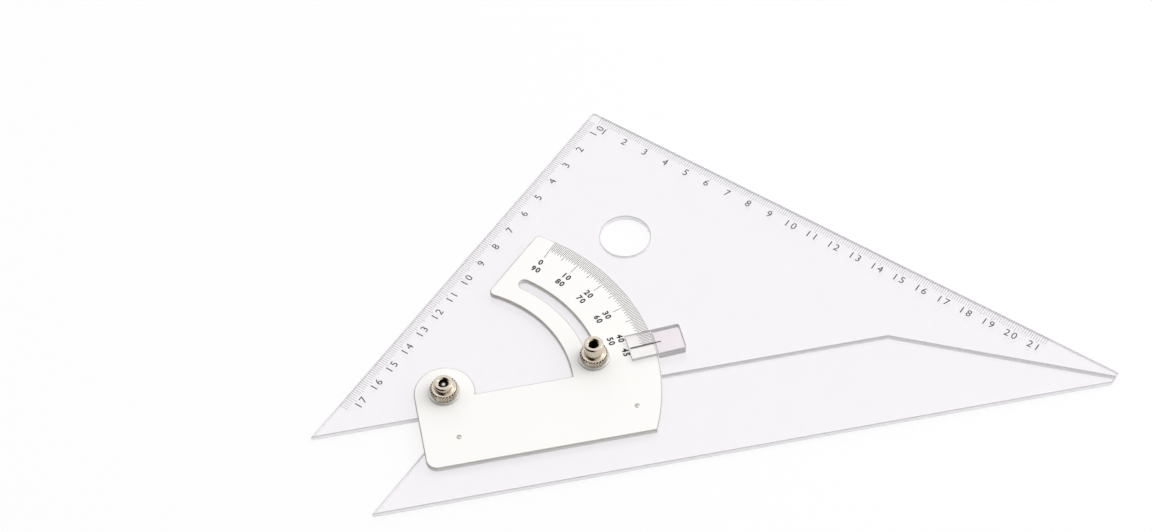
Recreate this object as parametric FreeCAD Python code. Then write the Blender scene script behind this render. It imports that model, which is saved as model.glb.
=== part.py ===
import FreeCAD, Part
import math
import os

from FreeCAD import Vector

# Adjustable set square. A clear base blade and a clear swing blade together make a 45 degree
# right-angled triangle. The swing blade turns on a pivot screw, from there to 45 degrees further
# open, under a white protractor plate that is pinned to the base blade. A second screw runs in
# the plate's slot and clamps the blades; a clear cursor on the swing blade reads the angle.
#
# Millimetres. The sketch frame has X along the working edge, from the middle of the full
# triangle's hypotenuse, and Y towards the 90 degree corner. The saved solids are moved so that
# the origin is under the middle of the closed square.

# ---- The closed triangle
leg_length = 248.2            # each leg of the full triangle, before its tips are cut
tip_cut_at = 243.0            # along the right-hand leg, from the 90 degree corner to the blunt tip
corner_round = 1.2            # the 90 degree corner
blade_thickness = 2.5

# ---- The joint between the blades
base_width = 39.0             # working edge to the straight part of the joint
joint_gap = 0.3
joint_turn_x = 90.0           # where the joint leaves the straight and runs to the tip
swing_tip_width = 2.4         # the swing blade's share of the blunt tip

# ---- Pivot and finger hole
pivot_from_joint = 8.5
pivot_from_leg = 31.7         # the left-hand leg
swing_range = 45.0            # degrees, from closed to fully open
finger_hole_d = 20.2
finger_hole_inset = 47.0      # from each leg

# ---- Protractor plate
plate_thickness = 2.0
boss_r = 11.9
rim_r = 83.7                  # outer edge of the degree arc
window_r = 49.6               # inner edge of the degree arc
arc_end_offset = 13.8         # from the pivot to the line of the arc's straight end
bar_drop = 2.9                # from the pivot down to the bar's upper edge
bar_width = 31.0
plate_corner_r = 4.5
arc_corner_r = 2.2
plate_edge_break = 0.2

# ---- Slot for the lock screw
slot_r = 59.5                 # its middle line, about the pivot
index_angle = 3.7             # degrees, from the working edge's direction to the closed reading
slot_clearance = 0.3          # each side of the screw

# ---- Pins that hold the plate to the base blade
pin_d = 1.8
pin_head_d = 3.4
pin_from_side = 14.1          # left-hand pin, from the plate's left edge
pin_from_bottom = 12.4
pin_spacing = 69.0

# ---- Countersunk M4 screws, their thread left smooth at its mean diameter
screw_d = 3.55
screw_length = 10.0
screw_head_d = 7.6
screw_tip_chamfer = 0.4
driver_slot_width = 1.0
driver_slot_depth = 0.9
screw_hole_clearance = 0.1    # in the blade
running_clearance = 0.05      # in whatever turns on a screw

# ---- Washers and thumb nuts
washer_d = 12.2
washer_thickness = 0.9
knurl_d = 10.7
knurl_height = 3.1
knurl_top_chamfer = 0.7
hub_d = 7.7
pivot_hub_height = 2.8
lock_hub_height = 5.6
nut_edge_chamfer = 0.3
nut_mouth_chamfer = 0.75      # round the bore, at the top

# ---- Cursor
cursor_length = 22.0
cursor_width = 11.8
cursor_thickness = 1.5
cursor_reach = 10.5           # inwards from the plate's rim, over the degree scale
cursor_corner_r = 1.2
cursor_lift = 0.3             # over the plate
rim_clearance = 0.4           # from the plate's rim to the cursor's foot


# ---- Straight edges, each an outward normal and a distance from the sketch frame's origin

def straight(normal_deg, distance):
    turn = math.radians(normal_deg)
    return Vector(math.cos(turn), math.sin(turn), 0), distance


def shifted(line, amount):
    """The same edge, moved along its normal."""
    return line[0], line[1] + amount


def meet(line_a, line_b):
    """The point where two straight edges cross."""
    a, b = line_a[0], line_b[0]
    spread = a.x * b.y - a.y * b.x
    x = (line_a[1] * b.y - line_b[1] * a.y) / spread
    y = (line_b[1] * a.x - line_a[1] * b.x) / spread
    return Vector(x, y, 0)


def joining(start, end):
    """The edge through two points, with its normal to the left of the way from start to end."""
    way = (end - start).normalize()
    normal = Vector(-way.y, way.x, 0)
    return normal, normal.dot(start)


def polar(centre, radius, degrees):
    turn = math.radians(degrees)
    return centre + Vector(radius * math.cos(turn), radius * math.sin(turn), 0)


def arc(centre, radius, start_deg, end_deg):
    middle = polar(centre, radius, (start_deg + end_deg) / 2)
    start = polar(centre, radius, start_deg)
    return Part.Arc(start, middle, polar(centre, radius, end_deg)).toShape()


working_edge = straight(-90, 0)
left_leg = straight(135, leg_length / 2)
right_leg = straight(45, leg_length / 2)
blunt_end = straight(-45, tip_cut_at - leg_length / 2)
joint_straight = straight(90, base_width)
joint_turn = Vector(joint_turn_x, base_width, 0)
joint_end = meet(shifted(right_leg, -swing_tip_width), blunt_end)
joint_slope = joining(joint_end, joint_turn)
joint_slope = (joint_slope[0] * -1, -joint_slope[1])

pivot = meet(shifted(joint_straight, pivot_from_joint), shifted(left_leg, -pivot_from_leg))
base_end = shifted(left_leg, -pivot_from_leg - pivot_from_joint)
corner = meet(left_leg, right_leg)
finger_hole = meet(shifted(left_leg, -finger_hole_inset), shifted(right_leg, -finger_hole_inset))
lock = polar(pivot, slot_r, index_angle)

plate_left = pivot.x - boss_r
bar_top = pivot.y - bar_drop
bar_bottom = bar_top - bar_width
left_pin = Vector(plate_left + pin_from_side, bar_bottom + pin_from_bottom, 0)
right_pin = left_pin + Vector(pin_spacing, 0, 0)

plate_top = blade_thickness + plate_thickness
washer_top = plate_top + washer_thickness
cursor_bottom = plate_top + cursor_lift
cursor_inner_r = rim_r - cursor_reach
cursor_outer_r = cursor_inner_r + cursor_length

screw_r = screw_d / 2
screw_head_r = screw_head_d / 2


# ---- Shapes that several pieces share

def sheet(lines, thickness):
    """A flat piece bounded by straight edges, taken in order round its outline."""
    points = [meet(lines[i - 1], lines[i]) for i in range(len(lines))]
    face = Part.Face(Part.makePolygon(points + points[:1]))
    return face.extrude(Vector(0, 0, thickness))


def disc(centre, radius, bottom, height):
    return Part.makeCylinder(radius, height, centre + Vector(0, 0, bottom))


def turned(profile, centre, bottom):
    """A round piece from its half section, given as (radius, height) points."""
    points = [Vector(radius, 0, height) for radius, height in profile]
    face = Part.Face(Part.makePolygon(points + points[:1]))
    solid = face.revolve(Vector(0, 0, 0), Vector(0, 0, 1), 360)
    solid.translate(centre + Vector(0, 0, bottom))
    return solid


def upright_edges(shape, points):
    """The vertical edges that stand over the given outline points."""
    found = []
    for edge in shape.Edges:
        foot, head = edge.Vertexes[0].Point, edge.Vertexes[-1].Point
        flat = math.hypot(foot.x - head.x, foot.y - head.y) < 1e-6
        near = any(math.hypot(foot.x - p.x, foot.y - p.y) < 1e-4 for p in points)
        if flat and near and abs(foot.z - head.z) > 1e-6:
            found.append(edge)
    return found


def countersink(head_r, hole_r, centre):
    """A hole's 45 degree countersink on the underside of a blade."""
    depth = head_r - hole_r
    return Part.makeCone(head_r, hole_r, depth, centre)


# ---- Blades

def base_blade():
    near_joint = [shifted(line, -joint_gap / 2) for line in (joint_slope, joint_straight, base_end)]
    blade = sheet([working_edge, blunt_end] + near_joint, blade_thickness)
    for centre in (left_pin, right_pin):
        blade = blade.cut(disc(centre, pin_d / 2, 0, blade_thickness))
        blade = blade.cut(countersink(pin_head_d / 2, pin_d / 2, centre))
    return blade


def swing_blade():
    near_joint = [shifted(line, joint_gap / 2) for line in (joint_slope, joint_straight)]
    blade = sheet([left_leg, right_leg, blunt_end] + near_joint, blade_thickness)
    blade = blade.makeFillet(corner_round, upright_edges(blade, [corner]))
    blade = blade.cut(disc(finger_hole, finger_hole_d / 2, 0, blade_thickness))
    hole_r = screw_r + screw_hole_clearance
    for centre in (pivot, lock):
        blade = blade.cut(disc(centre, hole_r, 0, blade_thickness))
        blade = blade.cut(countersink(screw_head_r, hole_r, centre))
    return blade


# ---- Protractor plate

def end_angle(radius):
    """Where the arc's straight end crosses a circle about the pivot."""
    return swing_range + math.degrees(math.asin(arc_end_offset / radius))


def level_angle(radius, drop):
    """Where a level line under the pivot crosses a circle about it."""
    return -math.degrees(math.asin(drop / radius))


def slot():
    """The screw's path about the pivot, with round ends."""
    half = screw_r + slot_clearance
    last = index_angle + swing_range
    inner_r, outer_r = slot_r - half, slot_r + half
    far_end, near_end = polar(pivot, slot_r, last), polar(pivot, slot_r, index_angle)
    edges = [
        arc(pivot, outer_r, index_angle, last),
        arc(far_end, half, last, last + 180),
        arc(pivot, inner_r, last, index_angle),
        arc(near_end, half, index_angle + 180, index_angle + 360),
    ]
    face = Part.Face(Part.Wire(edges))
    return face.extrude(Vector(0, 0, plate_thickness))


def protractor_plate():
    window_low = level_angle(window_r, bar_drop)
    rim_low = level_angle(rim_r, bar_drop + bar_width)
    boss_left = polar(pivot, boss_r, 180)
    boss_foot = polar(pivot, boss_r, level_angle(boss_r, bar_drop))
    window_foot = polar(pivot, window_r, window_low)
    window_end = polar(pivot, window_r, end_angle(window_r))
    rim_end = polar(pivot, rim_r, end_angle(rim_r))
    rim_foot = polar(pivot, rim_r, rim_low)
    bottom_left = Vector(plate_left, bar_bottom, 0)
    edges = [
        arc(pivot, boss_r, 180, level_angle(boss_r, bar_drop)),
        Part.makeLine(boss_foot, window_foot),
        arc(pivot, window_r, window_low, end_angle(window_r)),
        Part.makeLine(window_end, rim_end),
        arc(pivot, rim_r, end_angle(rim_r), rim_low),
        Part.makeLine(rim_foot, bottom_left),
        Part.makeLine(bottom_left, boss_left),
    ]
    plate = Part.Face(Part.Wire(edges)).extrude(Vector(0, 0, plate_thickness))
    plate = plate.makeFillet(plate_corner_r, upright_edges(plate, [bottom_left]))
    plate = plate.makeFillet(arc_corner_r, upright_edges(plate, [window_end, rim_end]))
    plate = plate.cut(slot())
    rims = [edge for edge in plate.Edges if edge.BoundBox.ZMin > plate_thickness - 1e-6]
    plate = plate.makeChamfer(plate_edge_break, rims)
    plate = plate.cut(disc(pivot, screw_r + running_clearance, 0, plate_thickness))
    for centre in (left_pin, right_pin):
        plate = plate.cut(disc(centre, pin_d / 2, 0, plate_thickness))
    plate.translate(Vector(0, 0, blade_thickness))
    return plate


def plate_pin(centre):
    """Flush in the plate's face and countersunk under the base blade."""
    head_r, shank_r = pin_head_d / 2, pin_d / 2
    profile = [(0, 0), (head_r, 0), (shank_r, head_r - shank_r), (shank_r, plate_top), (0, plate_top)]
    return turned(profile, centre, 0)


# ---- Screws, washers and thumb nuts

def countersunk_screw(centre):
    neck = screw_head_r - screw_r
    tip_r = screw_r - screw_tip_chamfer
    profile = [
        (0, 0), (screw_head_r, 0), (screw_r, neck),
        (screw_r, screw_length - screw_tip_chamfer), (tip_r, screw_length), (0, screw_length),
    ]
    screw = turned(profile, centre, 0)
    half = Vector(screw_head_d / 2, driver_slot_width / 2, 0)
    driver_slot = Part.makeBox(screw_head_d, driver_slot_width, driver_slot_depth, centre - half)
    return screw.cut(driver_slot)


def washer(centre):
    ring = disc(centre, washer_d / 2, plate_top, washer_thickness)
    return ring.cut(disc(centre, screw_r + screw_hole_clearance, plate_top, washer_thickness))


def thumb_nut(centre, hub_height):
    """A knurled flange below and a plain hub above, with a tapped bore right through."""
    bore_r = screw_r + running_clearance
    knurl_r, hub_r = knurl_d / 2, hub_d / 2
    top = knurl_height + hub_height
    profile = [
        (bore_r, 0), (knurl_r - nut_edge_chamfer, 0), (knurl_r, nut_edge_chamfer),
        (knurl_r, knurl_height - knurl_top_chamfer), (knurl_r - knurl_top_chamfer, knurl_height),
        (hub_r, knurl_height), (hub_r, top - nut_edge_chamfer), (hub_r - nut_edge_chamfer, top),
        (bore_r + nut_mouth_chamfer, top), (bore_r, top - nut_mouth_chamfer),
    ]
    return turned(profile, centre, washer_top)


# ---- Cursor

def radial_block(inner_r, outer_r, bottom, top):
    """A block as wide as the cursor, lying along the index line."""
    size = Vector(outer_r - inner_r, cursor_width, top - bottom)
    block = Part.makeBox(size.x, size.y, size.z, Vector(inner_r, -size.y / 2, bottom))
    outer = [Vector(outer_r, side * cursor_width / 2, 0) for side in (-1, 1)]
    block = block.makeFillet(cursor_corner_r, upright_edges(block, outer))
    block.rotate(Vector(0, 0, 0), Vector(0, 0, 1), index_angle)
    block.translate(pivot)
    return block


def cursor_window():
    return radial_block(cursor_inner_r, cursor_outer_r, cursor_bottom, cursor_bottom + cursor_thickness)


def cursor_foot():
    """Stands on the swing blade outside the plate's rim, and follows that rim."""
    foot = radial_block(cursor_inner_r, cursor_outer_r, blade_thickness, cursor_bottom)
    return foot.cut(disc(pivot, rim_r + rim_clearance, blade_thickness, cursor_bottom))


# ---- Saving

def middle_of_closed_square():
    left = meet(left_leg, shifted(joint_straight, joint_gap / 2))
    right = meet(right_leg, blunt_end)
    peak = corner.y - corner_round * (math.sqrt(2) - 1)
    return Vector((left.x + right.x) / 2, peak / 2, 0)


def save(node, shape):
    shape = shape.copy()
    shape.translate(middle_of_closed_square() * -1)
    shape.exportStep("parts/" + node + ".step")


def main():
    os.makedirs("parts", exist_ok=True)
    save("base_blade", base_blade())
    save("swing_blade", swing_blade())
    save("protractor_plate", protractor_plate())
    save("plate_pin_left", plate_pin(left_pin))
    save("plate_pin_right", plate_pin(right_pin))
    for name, centre, hub_height in (("pivot", pivot, pivot_hub_height), ("lock", lock, lock_hub_height)):
        save(name + "_screw", countersunk_screw(centre))
        save(name + "_washer", washer(centre))
        save(name + "_thumb_nut", thumb_nut(centre, hub_height))
    save("cursor_window", cursor_window())
    save("cursor_foot", cursor_foot())


main()
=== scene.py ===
"""Adjustable set square: two clear acrylic blades, a white protractor plate with a degree scale, knurled thumb nuts on
countersunk screws, and a clear cursor. Everything is in metres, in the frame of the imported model."""

import math

import bmesh
import bpy
from bpy.props import FloatProperty, FloatVectorProperty, IntProperty, PointerProperty
from mathutils import Matrix, Vector


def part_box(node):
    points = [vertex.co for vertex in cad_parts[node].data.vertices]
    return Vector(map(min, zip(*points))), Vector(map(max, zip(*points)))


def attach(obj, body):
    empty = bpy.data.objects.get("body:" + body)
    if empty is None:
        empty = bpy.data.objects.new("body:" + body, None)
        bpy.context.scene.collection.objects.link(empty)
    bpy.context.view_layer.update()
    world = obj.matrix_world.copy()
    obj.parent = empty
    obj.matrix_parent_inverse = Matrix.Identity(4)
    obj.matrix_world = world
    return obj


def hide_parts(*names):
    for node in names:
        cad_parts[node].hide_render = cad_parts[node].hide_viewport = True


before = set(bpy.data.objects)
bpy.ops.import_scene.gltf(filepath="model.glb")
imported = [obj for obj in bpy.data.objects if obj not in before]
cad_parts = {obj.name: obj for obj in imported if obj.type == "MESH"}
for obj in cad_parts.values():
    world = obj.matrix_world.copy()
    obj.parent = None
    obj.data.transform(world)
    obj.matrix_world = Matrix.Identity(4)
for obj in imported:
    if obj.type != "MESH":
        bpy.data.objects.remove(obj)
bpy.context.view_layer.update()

bl_info = {
    "name": "Adjustable Set Square",
    "version": (1, 0, 0),
    "blender": (4, 5, 0),
    "location": "View3D > Sidebar > Set Square",
    "description": "Builds a clear adjustable set square with a protractor plate, thumb nuts and a cursor",
    "category": "Add Mesh",
}

MM = 0.001


def linear(code):
    """An sRGB hex colour as linear red, green and blue."""
    parts = [int(code[i:i + 2], 16) / 255 for i in (1, 3, 5)]
    return tuple(p / 12.92 if p <= 0.04045 else ((p + 0.055) / 1.055) ** 2.4 for p in parts)


def rgba(colour, share=1.0):
    """A colour, darkened or lightened by a share, as a socket takes it."""
    return (*(c * share for c in colour), 1)


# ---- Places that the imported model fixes

def middle(node):
    low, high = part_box(node)
    return (Vector(low) + Vector(high)) / 2


def top(node):
    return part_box(node)[1][2]


def upright(node):
    """A round piece's lower and upper height, and its radius."""
    low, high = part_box(node)
    return low[2], high[2], (high[0] - low[0]) / 2


PIVOT = middle("pivot_screw").to_2d()
LOCK = middle("lock_screw").to_2d()
INDEX_ANGLE = math.atan2(*(LOCK - PIVOT).yx)
BLADE_TOP = top("swing_blade")
PLATE_TOP = top("protractor_plate")
RIM_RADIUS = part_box("protractor_plate")[1][0] - PIVOT.x
# Sizes that more than one piece shares.
SMALL_HOLE = 3 * MM
SCREW_HEAD = 3.8 * MM
PIN_HEAD = 1.7 * MM
DRIVER_DEPTH = 0.9 * MM
CORNER_ROUND = 1.2 * MM
# The directions of the square's legs from its 90 degree corner.
LEFT_LEG = Vector((-1, -1)).normalized()
RIGHT_LEG = Vector((1, -1)).normalized()


# ---- Sizes and colours that a user may change

def length(name, description, millimetres):
    return FloatProperty(name=name, description=description, default=millimetres * MM, min=0,
                         unit="LENGTH", subtype="DISTANCE", precision=5)


def colour(name, description, code):
    return FloatVectorProperty(name=name, description=description, default=linear(code), size=3,
                               min=0, max=1, subtype="COLOR")


class SetSquareSizes(bpy.types.PropertyGroup):
    """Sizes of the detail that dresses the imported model"""

    blade_edge: length("Blade edge break", "Bevel along the blades' cut edges", 0.3)
    plate_edge: length("Plate edge round", "Rounding of the white plate's upper edge", 0.45)
    degree_line: length("Degree line width", "Width of a printed degree line", 0.2)
    leg_line: length("Leg line width", "Width of a printed millimetre line", 0.09)
    ink_film: length("Ink film", "Height of the printed ink over its surface", 0.02)
    leg_digit: length("Leg digit height", "Height of the centimetre digits", 3.1)
    leg_digit_step: length("Leg digit step", "From one centimetre digit's middle to the next", 3.1)
    degree_digit: length("Degree digit height", "Height of the degree digits", 2.6)
    degree_digit_step: length("Degree digit step", "From one degree digit's middle to the next", 2.05)
    hairline: length("Hairline width", "Width of the cursor's index line", 0.5)
    knurl_teeth: IntProperty(name="Knurl teeth", description="Diamonds round a thumb nut", default=26, min=12, max=80)
    knurl_rows: IntProperty(name="Knurl rows", description="Staggered rows of diamonds", default=5, min=2, max=20)
    knurl_depth: length("Knurl depth", "Height of a diamond over the groove", 0.42)
    gap: length("Air gap", "Gap between faces that rest on each other", 0.03)
    thread_pitch: length("Thread pitch", "Rise of the screw thread in one turn", 0.7)


class SetSquareColours(bpy.types.PropertyGroup):
    """Colours of the materials"""

    acrylic: colour("Acrylic", "Clear cast acrylic sheet", "#F9F6F9")
    cut_edge: colour("Cut edge", "Saw-cut acrylic", "#F7F6F8")
    plastic: colour("Plate", "White rigid plastic sheet", "#FBFAF8")
    ink: colour("Ink", "Black screen ink", "#161518")
    nickel: colour("Nickel", "Nickel plating", "#DBD0BF")
    steel: colour("Steel", "Zinc-plated steel", "#CBCBC8")
    # The bore colour is oiled brass darkened further as painted shade for the deep threaded holes; the screws' ends
    # take it too.
    bore: colour("Bore", "Oiled bare brass in the nuts' threads", "#4A4034")
    floor: colour("Floor", "Table top", "#F8F8F9")


# ---- Node trees

def add(tree, kind, inputs=None, **settings):
    """Adds a node, sets its own settings, and sets or links its inputs, which are named or numbered."""
    node = tree.nodes.new(kind)
    for name, value in settings.items():
        setattr(node, name, value)
    for key, value in (inputs or {}).items():
        if isinstance(value, bpy.types.NodeSocket):
            tree.links.new(value, node.inputs[key])
        else:
            node.inputs[key].default_value = value
    return node


def new_material(name):
    """An empty node material and its tree."""
    material = bpy.data.materials.new(name)
    material.use_nodes = True
    material.node_tree.nodes.clear()
    return material, material.node_tree


def grain(tree, millimetres, detail=3.0, roughness=0.5):
    """Noise on object coordinates, whose features are about that many millimetres across."""
    place = add(tree, "ShaderNodeTexCoord")
    return add(tree, "ShaderNodeTexNoise", {
        "Vector": place.outputs["Object"], "Scale": 1 / (millimetres * MM), "Detail": detail, "Roughness": roughness})


def span(tree, value, low, high):
    """A 0 to 1 value stretched to run from low to high."""
    return add(tree, "ShaderNodeMapRange", {"Value": value, "To Min": low, "To Max": high}).outputs["Result"]


def let_lamps_through(tree, glass, tint, clear=0.0):
    """Shadow rays pass through clear plastic, tinted, so that lamps light what lies under it. So does the clear share
    of the other rays."""
    path = add(tree, "ShaderNodeLightPath")
    film = add(tree, "ShaderNodeBsdfTransparent", {"Color": rgba(tint)})
    through = maths(tree, "MAXIMUM", path.outputs["Is Shadow Ray"], clear)
    return add(tree, "ShaderNodeMixShader", {
        0: through, 1: glass.outputs["BSDF"], 2: film.outputs["BSDF"]}).outputs["Shader"]


def corner_line(tree, face, start, end, most=1.0):
    """Rises from 0 to most between two depths, in millimetres, under the height of a sheet's upper face."""
    place = add(tree, "ShaderNodeTexCoord")
    height = add(tree, "ShaderNodeSeparateXYZ", {0: place.outputs["Object"]}).outputs["Z"]
    return add(tree, "ShaderNodeMapRange", {
        "Value": height, "From Min": face - start * MM, "From Max": face - end * MM, "To Max": most}).outputs["Result"]


def cast_acrylic(tree, colours):
    """Cast PMMA sheet, as it leaves the glass mould: flat, clear, very smooth, with a few hairline scuffs from use."""
    scuffs = grain(tree, 6, 6, 0.65)
    glass = add(tree, "ShaderNodeBsdfPrincipled", {
        "Base Color": rgba(colours.acrylic), "Transmission Weight": 1.0, "IOR": 1.49,
        "Roughness": span(tree, scuffs.outputs["Fac"], 0.0, 0.06)})
    return let_lamps_through(tree, glass, (0.93, 0.93, 0.94))


def cut_acrylic(tree, colours):
    """The sheet's sawn edges: fine cutter lines make them matt and white, though some light goes straight through. A
    thin grey line of painted shade runs along the upper corner, where the edge's outline reads dark."""
    lines = grain(tree, 0.5, 2, 0.5)
    # Painted shade: a thin grey band along the blades' upper corner, mixed into the edge colour by height.
    painted_edge_shade = corner_line(tree, BLADE_TOP, 0.5, 0.35)
    tone = add(tree, "ShaderNodeMix", {
        "Factor": painted_edge_shade, 6: rgba(colours.cut_edge), 7: rgba(linear("#B9B6BA"))}, data_type="RGBA")
    bump = add(tree, "ShaderNodeBump", {
        "Strength": 0.35, "Distance": 0.03 * MM, "Height": lines.outputs["Fac"]})
    glass = add(tree, "ShaderNodeBsdfPrincipled", {
        "Base Color": tone.outputs[2], "Transmission Weight": 0.05, "IOR": 1.49,
        "Roughness": span(tree, lines.outputs["Fac"], 0.25, 0.45), "Normal": bump.outputs["Normal"]})
    return let_lamps_through(tree, glass, (0.94, 0.94, 0.95), 0.35)


def thin_acrylic(tree, colours):
    """Thin extruded acrylic of the cursor: clear and all but colourless, with the faint ripple of its rollers."""
    ripple = grain(tree, 4, 2, 0.5)
    glass = add(tree, "ShaderNodeBsdfPrincipled", {
        "Base Color": rgba(linear("#FEFCFD")), "Transmission Weight": 1.0, "IOR": 1.49,
        "Roughness": span(tree, ripple.outputs["Fac"], 0.0, 0.05)})
    return let_lamps_through(tree, glass, (0.98, 0.98, 0.98))


def cemented_acrylic(tree, colours):
    """Acrylic under a solvent-cemented joint: the cement leaves faint pinkish clouds and a softer surface."""
    clouds = grain(tree, 3.5, 4, 0.6)
    tone = add(tree, "ShaderNodeMix", {
        "Factor": clouds.outputs["Fac"], 6: rgba(linear("#F8F3F6")), 7: rgba(linear("#FFFDFE"))}, data_type="RGBA")
    glass = add(tree, "ShaderNodeBsdfPrincipled", {
        "Base Color": tone.outputs[2], "Transmission Weight": 1.0, "IOR": 1.49,
        "Roughness": span(tree, clouds.outputs["Fac"], 0.3, 0.02)})
    return let_lamps_through(tree, glass, (0.98, 0.97, 0.98))


def buffed_acrylic(tree, colours):
    """Edges of the cursor's small parts, cut and buffed: they bend the light away, and painted shade in their
    colour outlines the part in grey.
    """
    lines = grain(tree, 0.4, 2, 0.5)
    glass = add(tree, "ShaderNodeBsdfPrincipled", {
        # Painted shade: the edge colour is darkened to 0.72 of the cut edge so the part reads outlined in grey.
        "Base Color": rgba(colours.cut_edge, 0.72), "Transmission Weight": 0.2, "IOR": 1.49,
        "Roughness": span(tree, lines.outputs["Fac"], 0.1, 0.25)})
    return let_lamps_through(tree, glass, (0.95, 0.93, 0.95))


def milled_plastic(tree, colours):
    """The white sheet's milled edge: cutter marks leave it duller than the pressed face, and a thin brownish grey
    line of painted shade runs along its upper corner."""
    marks = grain(tree, 0.35, 2, 0.5)
    # Painted shade: a brownish grey band along the plate's upper corner, mixed into the edge colour by height.
    painted_corner_shade = corner_line(tree, PLATE_TOP, 0.6, 0.25, 0.85)
    bump = add(tree, "ShaderNodeBump", {
        "Strength": 0.3, "Distance": 0.03 * MM, "Height": marks.outputs["Fac"]})
    tone = add(tree, "ShaderNodeMix", {
        "Factor": marks.outputs["Fac"], 6: rgba(colours.plastic, 0.88),
        7: rgba(colours.plastic, 0.98)}, data_type="RGBA")
    painted_shade_tone = add(tree, "ShaderNodeMix", {
        "Factor": painted_corner_shade, 6: tone.outputs[2], 7: rgba(linear("#B4ADA8"))}, data_type="RGBA")
    plastic = add(tree, "ShaderNodeBsdfPrincipled", {
        "Base Color": painted_shade_tone.outputs[2], "IOR": 1.5, "Roughness": 0.55, "Normal": bump.outputs["Normal"]})
    return plastic.outputs["BSDF"]


def white_sheet(tree, colours):
    """Rigid white PVC sheet, milled to shape: satin face with the press plate's faint orange peel, slightly warm."""
    peel = grain(tree, 0.8, 3, 0.55)
    cloud = grain(tree, 25, 2, 0.5)
    tone = add(tree, "ShaderNodeMix", {
        "Factor": cloud.outputs["Fac"], 6: rgba(colours.plastic, 0.975), 7: rgba(colours.plastic)}, data_type="RGBA")
    bump = add(tree, "ShaderNodeBump", {
        "Strength": 0.12, "Distance": 0.02 * MM, "Height": peel.outputs["Fac"]})
    plastic = add(tree, "ShaderNodeBsdfPrincipled", {
        "Base Color": tone.outputs[2], "IOR": 1.5, "Roughness": span(tree, peel.outputs["Fac"], 0.34, 0.46),
        "Normal": bump.outputs["Normal"]})
    return plastic.outputs["BSDF"]


def screen_ink(tree, colours):
    """Black screen-printing ink: a matt film whose edges and density waver a little."""
    density = grain(tree, 0.6, 3, 0.6)
    tone = add(tree, "ShaderNodeMix", {
        "Factor": density.outputs["Fac"], 6: rgba(colours.ink), 7: rgba(colours.ink, 2.2)}, data_type="RGBA")
    film = add(tree, "ShaderNodeBsdfPrincipled", {
        "Base Color": tone.outputs[2], "IOR": 1.5, "Roughness": 0.55})
    return film.outputs["BSDF"]


def nickel_plate(tree, colours):
    """Bright nickel over turned brass: warm grey mirror, softened by fine turning marks and handling."""
    place = add(tree, "ShaderNodeTexCoord")
    turned = add(tree, "ShaderNodeMapping", {
        "Vector": place.outputs["Object"], "Scale": (0.15, 0.15, 1)})
    marks = add(tree, "ShaderNodeTexNoise", {
        "Vector": turned.outputs["Vector"], "Scale": 1 / (0.25 * MM), "Detail": 3.0})
    wear = grain(tree, 2.5, 4, 0.6)
    tone = add(tree, "ShaderNodeMix", {
        "Factor": wear.outputs["Fac"], 6: rgba(colours.nickel, 0.8), 7: rgba(colours.nickel)}, data_type="RGBA")
    bump = add(tree, "ShaderNodeBump", {
        "Strength": 0.15, "Distance": 0.01 * MM, "Height": marks.outputs["Fac"]})
    metal = add(tree, "ShaderNodeBsdfPrincipled", {
        "Base Color": tone.outputs[2], "Metallic": 1.0, "Roughness": span(tree, marks.outputs["Fac"], 0.08, 0.2),
        "Normal": bump.outputs["Normal"]})
    return metal.outputs["BSDF"]


def oiled_thread(tree, colours):
    """Bare brass in a tapped hole, which the plating bath hardly reaches, dark with oil; the colour is darkened further
    as painted shade for the depth of the hole. The screws' ends, deep in the same holes, take the same painted shade."""
    dirt = grain(tree, 0.6, 3, 0.6)
    tone = add(tree, "ShaderNodeMix", {
        "Factor": dirt.outputs["Fac"], 6: rgba(colours.bore, 0.4), 7: rgba(colours.bore)}, data_type="RGBA")
    metal = add(tree, "ShaderNodeBsdfPrincipled", {
        "Base Color": tone.outputs[2], "Metallic": 1.0, "Roughness": span(tree, dirt.outputs["Fac"], 0.35, 0.6)})
    return metal.outputs["BSDF"]


def zinc_steel(tree, colours):
    """Zinc-plated mild steel, stamped or rolled: pale, slightly cloudy, softer in its shine than the nickel."""
    cloud = grain(tree, 1.2, 4, 0.6)
    tone = add(tree, "ShaderNodeMix", {
        "Factor": cloud.outputs["Fac"], 6: rgba(colours.steel, 0.82), 7: rgba(colours.steel)}, data_type="RGBA")
    metal = add(tree, "ShaderNodeBsdfPrincipled", {
        "Base Color": tone.outputs[2], "Metallic": 1.0, "Roughness": span(tree, cloud.outputs["Fac"], 0.24, 0.38)})
    return metal.outputs["BSDF"]


MAKERS = {maker.__name__: maker for maker in (
    cast_acrylic, cut_acrylic, cemented_acrylic, buffed_acrylic, thin_acrylic, white_sheet, milled_plastic, screen_ink,
    nickel_plate, zinc_steel, oiled_thread)}


def finish_of(name):
    """The material of that name, made once."""
    material = bpy.data.materials.get(name)
    if material is None:
        material, tree = new_material(name)
        surface = MAKERS[name](tree, bpy.context.scene.set_square_colours)
        add(tree, "ShaderNodeOutputMaterial", {"Surface": surface})
    return material


# ---- Pieces

def piece(name, mesh, body, finishes=(), replaces=()):
    """Puts a finished mesh into the scene as a piece that rides on a body."""
    mesh.name = name
    for finish in finishes:
        mesh.materials.append(finish_of(finish))
    thing = bpy.data.objects.new(name, mesh)
    bpy.context.collection.objects.link(thing)
    if replaces:
        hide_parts(*replaces)
    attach(thing, body)
    return thing


def as_mesh(shape, name, crease=35.0):
    """Turns a bmesh into a mesh that is smooth up to the crease angle."""
    bmesh.ops.recalc_face_normals(shape, faces=shape.faces)
    mesh = bpy.data.meshes.new(name)
    shape.to_mesh(mesh)
    shape.free()
    mesh.shade_smooth()
    mesh.set_sharp_from_angle(angle=math.radians(crease))
    return mesh


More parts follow.
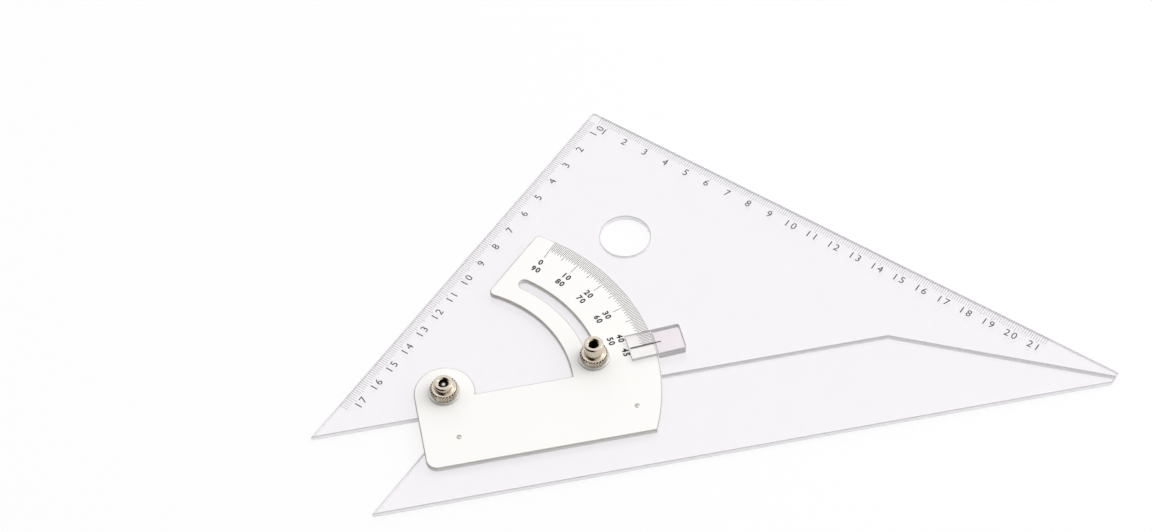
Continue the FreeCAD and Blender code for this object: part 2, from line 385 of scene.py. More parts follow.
def flat_outlines(node, height):
    """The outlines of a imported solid's flat face at a height: outer ones run anticlockwise, holes clockwise."""
    shape = bmesh.new()
    shape.from_mesh(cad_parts[node].data)
    bmesh.ops.remove_doubles(shape, verts=shape.verts, dist=1e-7)
    facing = 1 if height > middle(node).z else -1
    shape.faces.index_update()
    flat = {f.index: f for f in shape.faces
            if f.normal.z * facing > 0.999 and abs(f.calc_center_median().z - height) < 1e-6}
    following = {}
    for face in flat.values():
        for loop in face.loops:
            if not any(other.index in flat for other in loop.edge.link_faces if other is not face):
                following[loop.vert.index] = (loop.link_loop_next.vert.index, loop.vert.co.to_2d())
    outlines = []
    while following:
        start = here = next(iter(following))
        outline = []
        while here in following:
            onward, point = following.pop(here)
            outline.append(point)
            here = onward
        assert here == start, f"an outline of {node} isn't closed"
        outlines.append(without_straight_points(outline)[::facing])
    shape.free()
    return outlines


def without_straight_points(outline):
    """The outline without points that lie on a straight run."""
    kept = []
    for i, point in enumerate(outline):
        before, after = point - outline[i - 1], outline[(i + 1) % len(outline)] - point
        if before.length > 1e-8 and abs(before.normalized().cross(after.normalized())) > 1e-4:
            kept.append(point)
    return kept


def grown(outline, amount):
    """The outline moved outwards from the material by an amount, with mitred corners."""
    moved = []
    for i, point in enumerate(outline):
        before = (point - outline[i - 1]).normalized()
        after = (outline[(i + 1) % len(outline)] - point).normalized()
        way = (before + after).normalized()
        moved.append(point + Vector((way.y, -way.x)) * (amount / max(way.dot(after), 0.3)))
    return moved


def rounding(radius, low, high, steps, below=True, above=True):
    """Edge profile of a sheet as (growth, height) pairs, rounded over at its lower and upper edges."""
    turn = [math.radians(90 * i / steps) for i in range(steps + 1)]
    start = [(-radius * (1 - math.sin(a)), low + radius * (1 - math.cos(a))) for a in turn] if below else [(0, low)]
    end = [(-radius * (1 - math.cos(a)), high - radius * (1 - math.sin(a))) for a in turn] if above else [(0, high)]
    return start + end


def slab(name, sides):
    """A flat piece, its faces in finish 0 and its edges in finish 1. sides pairs each outline with its edge profile,
    from the lower face to the upper one."""
    shape = bmesh.new()
    rims = ([], [])
    for outline, profile in sides:
        rings = []
        for growth, height in profile:
            rings.append([shape.verts.new((*point, height)) for point in grown(outline, growth)])
        for lower, upper in zip(rings, rings[1:]):
            for i in range(len(lower)):
                face = shape.faces.new((lower[i - 1], lower[i], upper[i], upper[i - 1]))
                face.material_index = 1
        for rim, ring in zip(rims, (rings[0], rings[-1])):
            rim.extend(shape.edges.get((ring[i - 1], ring[i])) for i in range(len(ring)))
    for rim in rims:
        bmesh.ops.triangle_fill(shape, use_beauty=True, edges=rim)
    mesh = as_mesh(shape, name)
    keep_flat_faces_flat(mesh)
    return mesh


def keep_flat_faces_flat(mesh):
    """A sheet's two flat faces meet their rounded edges in a crease, so no shading runs across them."""
    shape = bmesh.new()
    shape.from_mesh(mesh)
    level = {f for f in shape.faces if abs(f.normal.z) > 0.9999}
    for edge in shape.edges:
        if len({f in level for f in edge.link_faces}) == 2:
            edge.smooth = False
    shape.to_mesh(mesh)
    shape.free()


def ring_centre(outline):
    """The middle of a round outline and its mean radius."""
    centre = sum(outline, Vector((0, 0))) / len(outline)
    return centre, sum((p - centre).length for p in outline) / len(outline)


def square_corner():
    """The 90 degree corner before it is rounded. It lies straight above the finger hole."""
    holes = [ring_centre(outline) for outline in flat_outlines("swing_blade", BLADE_TOP)]
    finger_hole = next(centre for centre, radius in holes if 8 * MM < radius < 12 * MM)
    return Vector((finger_hole.x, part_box("swing_blade")[1][1] + CORNER_ROUND * (math.sqrt(2) - 1)))


def turned(shape, profile, centre, segments=96, closed=True):
    """Revolves a profile of (radius, height) pairs about an upright axis, into shape."""
    rings = []
    for radius, height in profile:
        count = segments if radius > 1e-9 else 1
        rings.append([shape.verts.new((
            centre.x + radius * math.cos(math.tau * i / count),
            centre.y + radius * math.sin(math.tau * i / count), height)) for i in range(count)])
    pairs = list(zip(rings, rings[1:])) + ([(rings[-1], rings[0])] if closed else [])
    for lower, upper in pairs:
        if len(lower) == 1 and len(upper) == 1:
            continue
        for i in range(segments):
            corners = [lower[(i - 1) % len(lower)], lower[i % len(lower)],
                       upper[i % len(upper)], upper[(i - 1) % len(upper)]]
            shape.faces.new([v for j, v in enumerate(corners) if v not in corners[:j]])


def thread(shape, centre, root, crest, pitch, low, high, steps=28):
    """A helical ridge round an upright cylinder of radius root, fading in and out at its ends."""
    count = int((high - low) / pitch * steps)
    rings = []
    for i in range(count + 1):
        fade = min(1.0, i / steps, (count - i) / steps)
        turn = math.tau * i / steps
        height = low + pitch * i / steps
        sunk, peak = root - 0.05 * MM * math.copysign(1, crest - root), root + (crest - root) * fade
        half = 0.42 * pitch * fade + 1e-6
        rings.append([shape.verts.new((centre.x + r * math.cos(turn), centre.y + r * math.sin(turn), height + dz))
                      for r, dz in ((sunk, -half), (peak, 0), (sunk, half))])
    for lower, upper in zip(rings, rings[1:]):
        for j in range(3):
            shape.faces.new((lower[j - 1], lower[j], upper[j], upper[j - 1]))
    shape.faces.new(rings[0])
    shape.faces.new(rings[-1])


# ---- Geometry Nodes: scale lines and knurling

def node_group(name, sockets):
    """An empty geometry tree with the given float, integer and material inputs."""
    tree = bpy.data.node_groups.new(name, "GeometryNodeTree")
    tree.interface.new_socket("Geometry", in_out="OUTPUT", socket_type="NodeSocketGeometry")
    for label, kind in sockets:
        tree.interface.new_socket(label, in_out="INPUT", socket_type="NodeSocket" + kind)
    return tree, add(tree, "NodeGroupInput")


def maths(tree, operation, *values):
    """A Math node's result."""
    return add(tree, "ShaderNodeMath", dict(enumerate(values)), operation=operation).outputs[0]


def every(tree, index, step):
    """True for each step-th point."""
    rest = maths(tree, "FLOORED_MODULO", index, float(step))
    return maths(tree, "LESS_THAN", rest, 0.5)


def pick(tree, test, other, chosen):
    """chosen where the test holds, and other elsewhere."""
    return add(tree, "GeometryNodeSwitch", {
        "Switch": test, "False": other, "True": chosen}, input_type="FLOAT").outputs[0]


def set_out(tree, given, place, shape, size, turn=0.0, count=None):
    """Ends a tree with a copy of shape at each point's place, made real geometry in the given material."""
    points = add(tree, "GeometryNodePoints", {"Count": count or given["Count"]})
    placed = add(tree, "GeometryNodeSetPosition", {
        "Geometry": points.outputs[0], "Position": place.outputs[0]})
    heading = add(tree, "ShaderNodeCombineXYZ", {"Z": turn})
    copies = add(tree, "GeometryNodeInstanceOnPoints", {
        "Points": placed.outputs[0], "Instance": shape, "Rotation": heading.outputs[0], "Scale": size.outputs[0]})
    real = add(tree, "GeometryNodeRealizeInstances", {"Geometry": copies.outputs[0]})
    dressed = add(tree, "GeometryNodeSetMaterial", {
        "Geometry": real.outputs[0], "Material": given["Material"]})
    add(tree, "NodeGroupOutput", {"Geometry": dressed.outputs[0]})
    return tree


def line_scale_tree():
    """Lines across a straight edge, longer at each fifth and tenth."""
    tree, given = node_group("line_scale_tree", [
        ("First", "Int"), ("Count", "Int"), ("Pitch", "Float"), ("Short", "Float"), ("Fifth", "Float"),
        ("Tenth", "Float"), ("Width", "Float"), ("Film", "Float"), ("Material", "Material")])
    g = given.outputs
    number = maths(tree, "ADD", add(tree, "GeometryNodeInputIndex").outputs[0], g["First"])
    reach = pick(tree, every(tree, number, 10), pick(tree, every(tree, number, 5), g["Short"], g["Fifth"]), g["Tenth"])
    place = add(tree, "ShaderNodeCombineXYZ", {
        "X": maths(tree, "MULTIPLY", number, g["Pitch"]), "Y": maths(tree, "MULTIPLY", reach, -0.5)})
    size = add(tree, "ShaderNodeCombineXYZ", {"X": g["Width"], "Y": reach, "Z": g["Film"]})
    bar = add(tree, "GeometryNodeMeshCube")
    return set_out(tree, g, place, bar.outputs["Mesh"], size)


def degree_scale_tree():
    """Radial lines inside a rim, half a degree apart, longer at each degree, fifth and tenth."""
    tree, given = node_group("degree_scale_tree", [
        ("Count", "Int"), ("Start", "Float"), ("Step", "Float"), ("Rim", "Float"), ("Half", "Float"),
        ("One", "Float"), ("Fifth", "Float"), ("Tenth", "Float"), ("Width", "Float"), ("Film", "Float"),
        ("Material", "Material")])
    g = given.outputs
    number = add(tree, "GeometryNodeInputIndex").outputs[0]
    turn = maths(tree, "SUBTRACT", g["Start"], maths(tree, "MULTIPLY", number, g["Step"]))
    reach = pick(tree, every(tree, number, 2), g["Half"], g["One"])
    reach = pick(tree, every(tree, number, 10), reach, g["Fifth"])
    last = maths(tree, "COMPARE", number, maths(tree, "SUBTRACT", g["Count"], 1.0), 0.5)
    reach = pick(tree, maths(tree, "MAXIMUM", every(tree, number, 20), last), reach, g["Tenth"])
    radius = maths(tree, "SUBTRACT", g["Rim"], maths(tree, "MULTIPLY", reach, 0.5))
    place = add(tree, "ShaderNodeCombineXYZ", {
        "X": maths(tree, "MULTIPLY", radius, maths(tree, "COSINE", turn)),
        "Y": maths(tree, "MULTIPLY", radius, maths(tree, "SINE", turn))})
    size = add(tree, "ShaderNodeCombineXYZ", {"X": reach, "Y": g["Width"], "Z": g["Film"]})
    bar = add(tree, "GeometryNodeMeshCube")
    return set_out(tree, g, place, bar.outputs["Mesh"], size, turn)


def knurl_tree():
    """Staggered rows of small pyramids with cut tops, point to point round an upright cylinder."""
    tree, given = node_group("knurl_tree", [
        ("Teeth", "Int"), ("Rows", "Int"), ("Radius", "Float"), ("Bottom", "Float"), ("Height", "Float"),
        ("Depth", "Float"), ("Material", "Material")])
    g = given.outputs
    count = maths(tree, "MULTIPLY", g["Teeth"], g["Rows"])
    index = add(tree, "GeometryNodeInputIndex").outputs[0]
    row = maths(tree, "FLOOR", maths(tree, "DIVIDE", maths(tree, "ADD", index, 0.5), g["Teeth"]))
    stagger = maths(tree, "MULTIPLY", maths(tree, "FLOORED_MODULO", row, 2.0), 0.5)
    step = maths(tree, "DIVIDE", math.tau, g["Teeth"])
    turn = maths(tree, "MULTIPLY", maths(tree, "ADD", index, stagger), step)
    rise = maths(tree, "DIVIDE", g["Height"], maths(tree, "ADD", g["Rows"], 1.0))
    place = add(tree, "ShaderNodeCombineXYZ", {
        "X": maths(tree, "MULTIPLY", g["Radius"], maths(tree, "COSINE", turn)),
        "Y": maths(tree, "MULTIPLY", g["Radius"], maths(tree, "SINE", turn)),
        "Z": maths(tree, "ADD", g["Bottom"], maths(tree, "MULTIPLY", rise, maths(tree, "ADD", row, 1.0)))})
    pyramid = add(tree, "GeometryNodeMeshCone", {
        "Vertices": 4, "Side Segments": 1, "Fill Segments": 1, "Radius Top": 0.24, "Radius Bottom": 1.0,
        "Depth": 1.0}, fill_type="NGON")
    outward = add(tree, "GeometryNodeTransform", {
        "Geometry": pyramid.outputs["Mesh"], "Rotation": (0, math.radians(90), 0)})
    half_width = maths(tree, "MULTIPLY", maths(tree, "MULTIPLY", step, g["Radius"]), 0.5)
    size = add(tree, "ShaderNodeCombineXYZ", {"X": g["Depth"], "Y": half_width, "Z": rise})
    return set_out(tree, g, place, outward.outputs[0], size, turn, count)


def grow(maker, values):
    """Runs a geometry tree once and returns its result as a plain mesh."""
    tree = bpy.data.node_groups.get(maker.__name__) or maker()
    carrier = bpy.data.objects.new("carrier", bpy.data.meshes.new("carrier"))
    bpy.context.collection.objects.link(carrier)
    modifier = carrier.modifiers.new("grow", "NODES")
    modifier.node_group = tree
    for item in tree.interface.items_tree:
        if item.in_out == "INPUT":
            modifier[item.identifier] = values[item.name]
    carrier.update_tag()
    settled = carrier.evaluated_get(bpy.context.evaluated_depsgraph_get())
    mesh = bpy.data.meshes.new_from_object(settled)
    empty = carrier.data
    carrier.modifiers.clear()
    bpy.data.objects.remove(carrier)
    bpy.data.meshes.remove(empty)
    return mesh


# ---- Printed numbers

def digit_mesh(digit, height, weight):
    """One upright digit of that height, centred on the origin."""
    curve = bpy.data.curves.new("digit", "FONT")
    curve.body, curve.size, curve.offset, curve.resolution_u, curve.fill_mode = digit, 1, weight, 5, "BOTH"
    thing = bpy.data.objects.new("digit", curve)
    mesh = bpy.data.meshes.new_from_object(thing)
    bpy.data.objects.remove(thing)
    bpy.data.curves.remove(curve)
    xs, ys = [v.co.x for v in mesh.vertices], [v.co.y for v in mesh.vertices]
    centre = Vector(((min(xs) + max(xs)) / 2, (min(ys) + max(ys)) / 2, 0))
    mesh.transform(Matrix.Scale(height / (max(ys) - min(ys)), 4) @ Matrix.Translation(-centre))
    return mesh


def printed(name, labels, surface, height, step, film, weight):
    """One mesh of many numbers. labels holds (text, place, turn) for each; its digits stand a step apart."""
    shape = bmesh.new()
    for text, place, turn in labels:
        for i, digit in enumerate(text):
            mesh = digit_mesh(digit, height, weight)
            mesh.transform(
                Matrix.Translation((*place, surface)) @ Matrix.Rotation(turn, 4, "Z")
                @ Matrix.Translation(((i - (len(text) - 1) / 2) * step, 0, 0)))
            shape.from_mesh(mesh)
            bpy.data.meshes.remove(mesh)
    bmesh.ops.remove_doubles(shape, verts=shape.verts, dist=1e-7)
    raised = bmesh.ops.extrude_face_region(shape, geom=list(shape.faces), use_keep_orig=True)
    bmesh.ops.translate(shape, vec=(0, 0, film), verts=[v for v in raised["geom"] if isinstance(v, bmesh.types.BMVert)])
    shape.verts.index_update()
    for items in (shape.edges, shape.faces):
        items.sort(key=lambda item: in_vertex_order(item, len(shape.verts)))
    return as_mesh(shape, name, 20)


def in_vertex_order(item, count):
    """A number that sorts edges or faces by their vertices, because an extrusion leaves them in any order."""
    first, second, *others = sorted(v.index for v in item.verts)
    return float((first * count + second) * count + (others[0] if others else 0))


# ---- Operators, one for each piece or group of like pieces

class SETSQUARE_OT_stage(bpy.types.Operator):
    """Make the table top, the soft lamps, the surroundings and the camera"""

    bl_idname = "set_square.stage"
    bl_label = "Stage"

    def execute(self, context):
        colours = context.scene.set_square_colours
        self.lay_floor(colours)
        self.hang_lamps()
        self.surround(context.scene)
        self.set_camera(context.scene)
        context.scene.view_settings.view_transform = "Standard"
        return {"FINISHED"}

    def lay_floor(self, colours):
        """A pale table top. Most of what the lens and clear plastic see of it is plain white, and less of what metal
        mirrors; the rest is lit paper, which keeps the shadows."""
        material, tree = new_material("pale_table")
        path = add(tree, "ShaderNodeLightPath")
        seen = 0.0
        for ray, share in (("Is Camera Ray", 0.82), ("Is Transmission Ray", 0.82), ("Is Glossy Ray", 0.4)):
            seen = maths(tree, "MAXIMUM", seen, maths(tree, "MULTIPLY", path.outputs[ray], share))
        tooth = grain(tree, 1.5, 2, 0.5)
        bump = add(tree, "ShaderNodeBump", {
            "Strength": 0.05, "Distance": 0.02 * MM, "Height": tooth.outputs["Fac"]})
        paper = add(tree, "ShaderNodeBsdfDiffuse", {
            "Color": rgba(colours.floor), "Normal": bump.outputs["Normal"]})
        white = add(tree, "ShaderNodeEmission", {"Color": (1, 1, 1, 1), "Strength": 1.0})
        mix = add(tree, "ShaderNodeMixShader", {
            0: seen, 1: paper.outputs[0], 2: white.outputs[0]})
        add(tree, "ShaderNodeOutputMaterial", {"Surface": mix.outputs[0]})
        shape = bmesh.new()
        bmesh.ops.create_circle(shape, cap_ends=True, radius=12, segments=64)
        floor = bpy.data.objects.new("table_top", as_mesh(shape, "table_top"))
        floor.data.transform(Matrix.Translation((0, 0, -0.1 * MM)))
        floor.data.materials.append(material)
        bpy.context.collection.objects.link(floor)

    def hang_lamps(self):
        """A broad soft box high on the right behind the square, and a weaker one on the left."""
        for name, place, size, watts in (
            ("soft_box_right", (1.0, 0.15, 0.95), 1.0, 6.3),
            ("soft_box_left", (-0.9, 0.1, 1.1), 0.9, 1.0),
        ):
            lamp = bpy.data.lights.new(name, "AREA")
            lamp.shape, lamp.size, lamp.energy = "SQUARE", size, watts
            thing = bpy.data.objects.new(name, lamp)
            thing.location = place
            thing.rotation_mode = "QUATERNION"
            thing.rotation_quaternion = Vector(place).to_track_quat("Z", "Y")
            bpy.context.collection.objects.link(thing)

    def surround(self, scene):
        """A white room, greyer on the near side and white at the horizon, with one dark corner where the nuts find
        something to mirror towards the lens."""
        world = bpy.data.worlds.new("soft_room")
        world.use_nodes = True
        tree = world.node_tree
        tree.nodes.clear()
        way = add(tree, "ShaderNodeTexCoord").outputs["Generated"]
        far_side = Vector((0.60, 0.45, 0.66)).normalized()
        dark_corner = Vector((-0.62, -0.50, 0.45)).normalized()
        lit = add(tree, "ShaderNodeVectorMath", {0: way, 1: far_side}, operation="DOT_PRODUCT").outputs["Value"]
        lit = add(tree, "ShaderNodeMapRange", {"Value": lit, "From Min": -0.3, "From Max": 0.6}).outputs["Result"]
        walls = add(tree, "ShaderNodeMix", {
            "Factor": lit, 6: rgba(linear("#95918D")), 7: (1, 1, 1, 1)}, data_type="RGBA")
        shaded = add(tree, "ShaderNodeVectorMath", {0: way, 1: dark_corner}, operation="DOT_PRODUCT").outputs["Value"]
        shaded = add(tree, "ShaderNodeMapRange", {
            "Value": shaded, "From Min": 0.62, "From Max": 0.86}, interpolation_type="SMOOTHSTEP").outputs["Result"]
        room = add(tree, "ShaderNodeMix", {
            "Factor": shaded, 6: walls.outputs[2], 7: rgba(linear("#2A211B"))}, data_type="RGBA")
        height = add(tree, "ShaderNodeSeparateXYZ", {0: way}).outputs["Z"]
        horizon = add(tree, "ShaderNodeMapRange", {
            "Value": height, "From Min": 0.09, "From Max": 0.14, "To Min": 1.0, "To Max": 0.0}).outputs["Result"]
        tone = add(tree, "ShaderNodeMix", {
            "Factor": horizon, 6: room.outputs[2], 7: (1, 1, 1, 1)}, data_type="RGBA")
        glow = add(tree, "ShaderNodeBackground", {"Color": tone.outputs[2], "Strength": 1.15})
        add(tree, "ShaderNodeOutputWorld", {"Surface": glow.outputs[0]})
        scene.world = world

    def set_camera(self, scene):
        """The lens stands high in front of the square, a little to its left, and leans slightly."""
        azimuth, elevation, roll = (math.radians(a) for a in (-8.18, 52.66, -3.258))
        distance, target = 1.1147, Vector((-0.03956, 0.01269, 0))
        back = Vector((math.sin(azimuth) * math.cos(elevation), -math.cos(azimuth) * math.cos(elevation),
                       math.sin(elevation)))
        right = (-back).cross(Vector((0, 0, 1))).normalized()
        up = right.cross(-back)
        lens = bpy.data.cameras.new("camera")
        lens.lens, lens.sensor_width, lens.clip_start, lens.clip_end = 87.34, 36, 0.01, 100
        camera = bpy.data.objects.new("camera", lens)
        leaned = (right * math.cos(roll) + up * math.sin(roll), up * math.cos(roll) - right * math.sin(roll), back)
        camera.matrix_world = Matrix.Translation(target + back * distance) @ Matrix(leaned).transposed().to_4x4()
        bpy.context.collection.objects.link(camera)
        scene.camera = camera


class SETSQUARE_OT_blades(bpy.types.Operator):
    """Make the two clear blades, with broken edges and countersunk holes"""

    bl_idname = "set_square.blades"
    bl_label = "Blades"

    def execute(self, context):
        sizes = context.scene.set_square_sizes
        for node, body in (("base_blade", "base"), ("swing_blade", "swing_arm")):
            sides = []
            for outline in flat_outlines(node, BLADE_TOP):
                radius = ring_centre(outline)[1]
                profile = rounding(sizes.blade_edge, 0, BLADE_TOP, 2)
                if radius < SMALL_HOLE:
                    head = SCREW_HEAD if radius > 1.5 * MM else PIN_HEAD
                    sink = head + sizes.gap - radius
                    profile = [(-sink, 0), (0, sink), (0, BLADE_TOP)]
                sides.append((outline, profile))
            sheet = slab(node + "_sheet", sides)
            piece(node + "_sheet", sheet, body, ("cast_acrylic", "cut_acrylic"), (node,))
        return {"FINISHED"}


class SETSQUARE_OT_plate(bpy.types.Operator):
    """Make the white protractor plate with its curved slot"""

    bl_idname = "set_square.plate"
    bl_label = "Protractor plate"

    def execute(self, context):
        sizes = context.scene.set_square_sizes
        sides = []
        for outline in flat_outlines("protractor_plate", BLADE_TOP):
            radius = ring_centre(outline)[1]
            profile = rounding(sizes.plate_edge, BLADE_TOP + sizes.gap, PLATE_TOP, 4, below=False)
            if radius < SMALL_HOLE:
                profile = rounding(0.1 * MM, BLADE_TOP + sizes.gap, PLATE_TOP, 1, below=False)
            sides.append((outline, profile))
        sheet = slab("degree_plate", sides)
        piece("degree_plate", sheet, "base", ("white_sheet", "milled_plastic"), ("protractor_plate",))
        return {"FINISHED"}


class SETSQUARE_OT_degree_scale(bpy.types.Operator):
    """Print the two-way degree scale on the plate's arc"""

    bl_idname = "set_square.degree_scale"
    bl_label = "Degree scale"

    def execute(self, context):
        sizes = context.scene.set_square_sizes
        start = INDEX_ANGLE + math.radians(45)
        lines = grow(degree_scale_tree, {
            "Count": 91, "Start": start, "Step": math.radians(0.5), "Rim": RIM_RADIUS - 0.35 * MM,
            "Half": 4.3 * MM, "One": 5.2 * MM, "Fifth": 6.6 * MM, "Tenth": 8.8 * MM,
            "Width": sizes.degree_line, "Film": sizes.ink_film * 2, "Material": finish_of("screen_ink")})
        lines.transform(Matrix.Translation((*PIVOT, PLATE_TOP)))
        piece("degree_lines", lines, "base")
        labels = []
        for reading in (0, 10, 20, 30, 40, 45):
            turn = start - math.radians(reading if reading < 45 else 45.6)
            outward = Vector((math.cos(turn), math.sin(turn)))
            labels.append((str(reading), PIVOT + outward * 72.0 * MM, turn - math.radians(90)))
            if reading < 45:
                labels.append((str(90 - reading), PIVOT + outward * 68.1 * MM, turn - math.radians(90)))
        digits = printed("degree_numbers", labels, PLATE_TOP, sizes.degree_digit, sizes.degree_digit_step,
                         sizes.ink_film, 0.038)
        piece("degree_numbers", digits, "base", ("screen_ink",))
        return {"FINISHED"}


class SETSQUARE_OT_leg_scales(bpy.types.Operator):
    """Print the centimetre scales along the two legs of the swing blade"""

    bl_idname = "set_square.leg_scales"
    bl_label = "Leg scales"

    def execute(self, context):
        sizes = context.scene.set_square_sizes
        corner = square_corner()
        labels = [("0", corner + LEFT_LEG * 5.8 * MM + RIGHT_LEG * 7.2 * MM, math.radians(45))]
        for name, leg, other, turn, last in (
            ("left_leg_lines", LEFT_LEG, RIGHT_LEG, 45, 175), ("right_leg_lines", RIGHT_LEG, LEFT_LEG, -45, 213),
        ):
            lines = grow(line_scale_tree, {
                "First": 5, "Count": last - 4, "Pitch": MM, "Short": 3.5 * MM, "Fifth": 4.0 * MM, "Tenth": 4.5 * MM,
                "Width": sizes.leg_line, "Film": sizes.ink_film * 2, "Material": finish_of("screen_ink")})
            flip = Matrix.Scale(-1, 4, (1, 0, 0)) if leg is LEFT_LEG else Matrix.Identity(4)
            inset = corner + other * 0.35 * MM
            lines.transform(
                Matrix.Translation((*inset, BLADE_TOP)) @ Matrix.Rotation(math.radians(turn), 4, "Z") @ flip)
            if leg is LEFT_LEG:
                lines.flip_normals()
            piece(name, lines, "swing_arm")
            for mark in range(10, last + 1, 10):
                place = corner + leg * (mark - 0.4) * MM + other * 6.4 * MM
                labels.append((str(mark // 10), place, math.radians(turn)))
        digits = printed("leg_numbers", labels, BLADE_TOP, sizes.leg_digit, sizes.leg_digit_step, sizes.ink_film, 0.0)
        piece("leg_numbers", digits, "swing_arm", ("screen_ink",))
        return {"FINISHED"}


class SETSQUARE_OT_pins(bpy.types.Operator):
    """Make the two pins that hold the plate to the base blade"""

    bl_idname = "set_square.pins"
    bl_label = "Plate pins"

    def execute(self, context):
        for side in ("left", "right"):
            node = "plate_pin_" + side
            shape = bmesh.new()
            shank = 0.88 * MM
            turned(shape, [(0, 0), (PIN_HEAD, 0), (shank, PIN_HEAD - shank), (shank, PLATE_TOP - 0.15 * MM),
                           (shank - 0.12 * MM, PLATE_TOP - 0.03 * MM), (shank * 0.5, PLATE_TOP + 0.03 * MM),
                           (0, PLATE_TOP + 0.05 * MM)], middle(node).to_2d(), 40, closed=False)
            piece(node + "_rivet", as_mesh(shape, node), "base", ("zinc_steel",), (node,))
        return {"FINISHED"}


class SETSQUARE_OT_screws(bpy.types.Operator):
    """Make the countersunk screws with their threads and driver slots"""

    bl_idname = "set_square.screws"
    bl_label = "Screws"

    def execute(self, context):
        sizes = context.scene.set_square_sizes
        for node, centre in (("pivot_screw", PIVOT), ("lock_screw", LOCK)):
            high = top(node)
            root, crest = 1.52 * MM, 1.775 * MM
            neck = SCREW_HEAD - DRIVER_DEPTH
            shape = bmesh.new()
            turned(shape, [(0, DRIVER_DEPTH), (neck, DRIVER_DEPTH), (neck, DRIVER_DEPTH + 1e-6),
                           (crest, SCREW_HEAD - crest), (crest, 2.4 * MM), (root, 2.6 * MM),
                           (root, high - 0.3 * MM), (root - 0.3 * MM, high), (0.65 * MM, high),
                           (0, high - 0.12 * MM)], centre, 64, closed=False)
            self.slotted_head(shape, centre)
            thread(shape, centre, root, crest, sizes.thread_pitch, 2.9 * MM, high - 0.35 * MM)
            bolt = as_mesh(shape, node)
            # The screw's top half millimetre, except the middle of its end, takes the bore finish: painted shade for
            # its depth in the nut.
            for face in bolt.polygons:
                away = (face.center.to_2d() - centre).length
                face.material_index = int(face.center.z > high - 0.5 * MM and away > 0.7 * MM)
            piece(node + "_bolt", bolt, "swing_arm", ("zinc_steel", "oiled_thread"), (node,))
        return {"FINISHED"}

    def slotted_head(self, shape, centre):
        """The flat head's two halves, either side of the driver slot."""
        half = 0.5 * MM
        for side in (1, -1):
            rings = []
            for height in (0.0, DRIVER_DEPTH):
                radius = SCREW_HEAD - height
                start = math.asin(half / radius)
                arc = [start + (math.pi - 2 * start) * i / 24 for i in range(25)]
                rings.append([shape.verts.new((centre.x + radius * math.cos(a), centre.y + side * radius * math.sin(a),
                                               height)) for a in arc])
            for i in range(25):
                shape.faces.new((rings[0][i - 1], rings[0][i], rings[1][i], rings[1][i - 1]))
            shape.faces.new(rings[0])
            shape.faces.new(rings[1])


class SETSQUARE_OT_washers(bpy.types.Operator):
    """Make the stamped washers"""

    bl_idname = "set_square.washers"
    bl_label = "Washers"

    def execute(self, context):
        for node, centre in (("pivot_washer", PIVOT), ("lock_washer", LOCK)):
            low, high, outer = upright(node)
            inner, soft = 1.875 * MM, 0.22 * MM
            shape = bmesh.new()
            turned(shape, [(inner, low), (outer - soft / 2, low), (outer, low + soft / 2), (outer, high - soft),
                           (outer - soft * 0.3, high - soft * 0.3), (outer - soft, high), (inner, high)], centre)
            piece(node + "_ring", as_mesh(shape, node, 50), "swing_arm", ("zinc_steel",), (node,))
        return {"FINISHED"}


class SETSQUARE_OT_thumb_nuts(bpy.types.Operator):
    """Make the knurled thumb nuts"""

    bl_idname = "set_square.thumb_nuts"
    bl_label = "Thumb nuts"

    def execute(self, context):
        sizes = context.scene.set_square_sizes
        for node, centre, body in (("pivot_thumb_nut", PIVOT, "pivot_nut"), ("lock_thumb_nut", LOCK, "lock_nut")):
            low, high, rim = upright(node)
            core, hub, bore = rim - sizes.knurl_depth, 3.85 * MM, 1.86 * MM
            flange, seat = low + 3.1 * MM, low + sizes.gap
            shape = bmesh.new()
            turned(shape, [
                (bore, seat), (core - 0.35 * MM, seat), (core, low + 0.3 * MM), (core, flange - 0.45 * MM),
                (core - 0.12 * MM, flange - 0.15 * MM), (core - 0.5 * MM, flange), (hub + 0.15 * MM, flange),
                (hub, flange + 0.12 * MM), (hub, high - 0.5 * MM), (hub - 0.06 * MM, high - 0.4 * MM),
                (hub - 0.4 * MM, high - 0.06 * MM), (hub - 0.5 * MM, high), (bore + 0.5 * MM, high),
                (bore + 0.43 * MM, high - 0.06 * MM), (bore, high - 0.45 * MM)], centre)
            thread(shape, centre, bore, bore + 0.22 * MM, sizes.thread_pitch, low + 0.4 * MM, high - 0.8 * MM)
            nut = as_mesh(shape, node, 28)
            # The bore's faces take the dark bore finish: oil, darkened further with painted shade for the hole's depth.
            for face in nut.polygons:
                away = (face.center.to_2d() - centre).length
                face.material_index = int(away < bore + 0.25 * MM and face.center.z < high - 0.42 * MM)
            piece(node + "_body", nut, body, ("nickel_plate", "oiled_thread"), (node,))
            knurl = grow(knurl_tree, {
                "Teeth": sizes.knurl_teeth, "Rows": sizes.knurl_rows, "Depth": sizes.knurl_depth,
                "Radius": core + sizes.knurl_depth * 0.5 - 0.04 * MM, "Bottom": low + 0.12 * MM,
                "Height": flange - low - 0.3 * MM, "Material": finish_of("nickel_plate")})
            knurl.transform(Matrix.Translation((*centre, 0)))
            piece(node + "_knurl", knurl, body)
        return {"FINISHED"}


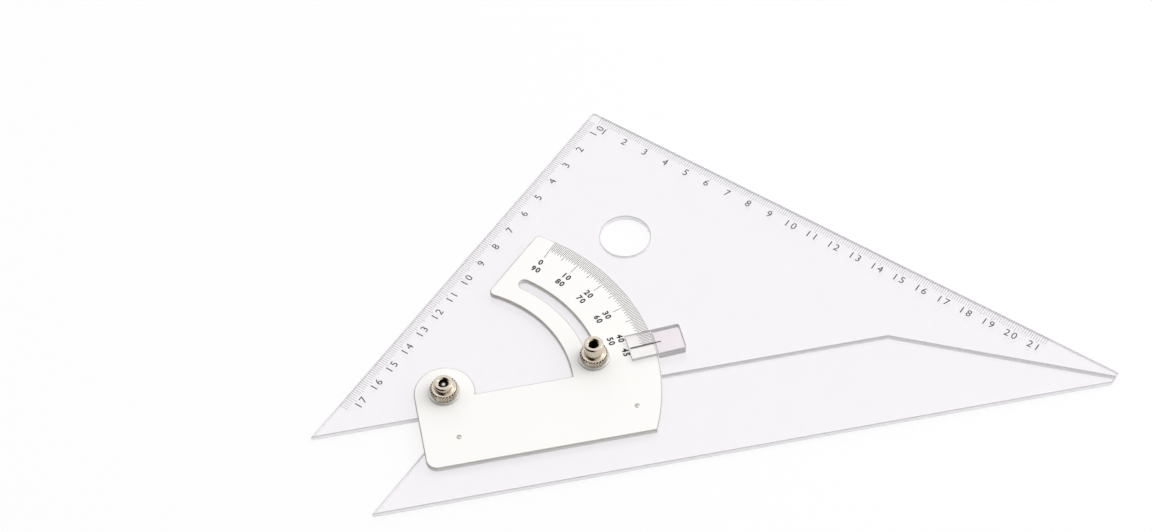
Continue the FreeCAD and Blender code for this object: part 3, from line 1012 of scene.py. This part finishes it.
class SETSQUARE_OT_cursor(bpy.types.Operator):
    """Make the clear cursor: its window, the foot that carries it and the index line"""

    bl_idname = "set_square.cursor"
    bl_label = "Cursor"

    def execute(self, context):
        sizes = context.scene.set_square_sizes
        for node, name, face in (("cursor_window", "cursor_pane", "thin_acrylic"),
                                 ("cursor_foot", "cursor_block", "cemented_acrylic")):
            low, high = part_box(node)[0][2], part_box(node)[1][2]
            outlines = flat_outlines(node, high)
            if node == "cursor_foot":
                low, high = low + sizes.gap, high - sizes.gap
            block = slab(name, [(outline, rounding(0.22 * MM, low, high, 1)) for outline in outlines])
            piece(name, block, "swing_arm", (face, "buffed_acrylic"), (node,))
        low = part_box("cursor_window")[0][2]
        start, end = 74.0 * MM, 86.3 * MM
        shape = bmesh.new()
        bmesh.ops.create_cube(shape, size=1)
        line = as_mesh(shape, "cursor_line")
        line.transform(
            Matrix.Translation((*PIVOT, low)) @ Matrix.Rotation(INDEX_ANGLE, 4, "Z")
            @ Matrix.Translation(((start + end) / 2, 0, 0))
            @ Matrix.Diagonal((end - start, sizes.hairline, 0.06 * MM, 1)))
        piece("cursor_line", line, "swing_arm", ("screen_ink",))
        return {"FINISHED"}


class SETSQUARE_PT_panel(bpy.types.Panel):
    """Lists the pieces, sizes and colours"""

    bl_label = "Set Square"
    bl_idname = "SETSQUARE_PT_panel"
    bl_space_type = "VIEW_3D"
    bl_region_type = "UI"
    bl_category = "Set Square"

    def draw(self, context):
        for operator in OPERATORS:
            self.layout.operator(operator.bl_idname)
        for group in (context.scene.set_square_sizes, context.scene.set_square_colours):
            box = self.layout.box()
            for name in group.bl_rna.properties.keys():
                if name not in ("rna_type", "name"):
                    box.prop(group, name)


OPERATORS = (
    SETSQUARE_OT_stage, SETSQUARE_OT_blades, SETSQUARE_OT_plate, SETSQUARE_OT_degree_scale, SETSQUARE_OT_leg_scales,
    SETSQUARE_OT_pins, SETSQUARE_OT_screws, SETSQUARE_OT_washers, SETSQUARE_OT_thumb_nuts, SETSQUARE_OT_cursor,
)
CLASSES = (SetSquareSizes, SetSquareColours, *OPERATORS, SETSQUARE_PT_panel)


def register():
    for cls in CLASSES:
        bpy.utils.register_class(cls)
    bpy.types.Scene.set_square_sizes = PointerProperty(type=SetSquareSizes)
    bpy.types.Scene.set_square_colours = PointerProperty(type=SetSquareColours)


def unregister():
    del bpy.types.Scene.set_square_colours
    del bpy.types.Scene.set_square_sizes
    for cls in reversed(CLASSES):
        bpy.utils.unregister_class(cls)


def main():
    register()
    bpy.ops.set_square.stage()
    bpy.ops.set_square.blades()
    bpy.ops.set_square.plate()
    bpy.ops.set_square.degree_scale()
    bpy.ops.set_square.leg_scales()
    bpy.ops.set_square.pins()
    bpy.ops.set_square.screws()
    bpy.ops.set_square.washers()
    bpy.ops.set_square.thumb_nuts()
    bpy.ops.set_square.cursor()


if __name__ == "__main__":
    main()
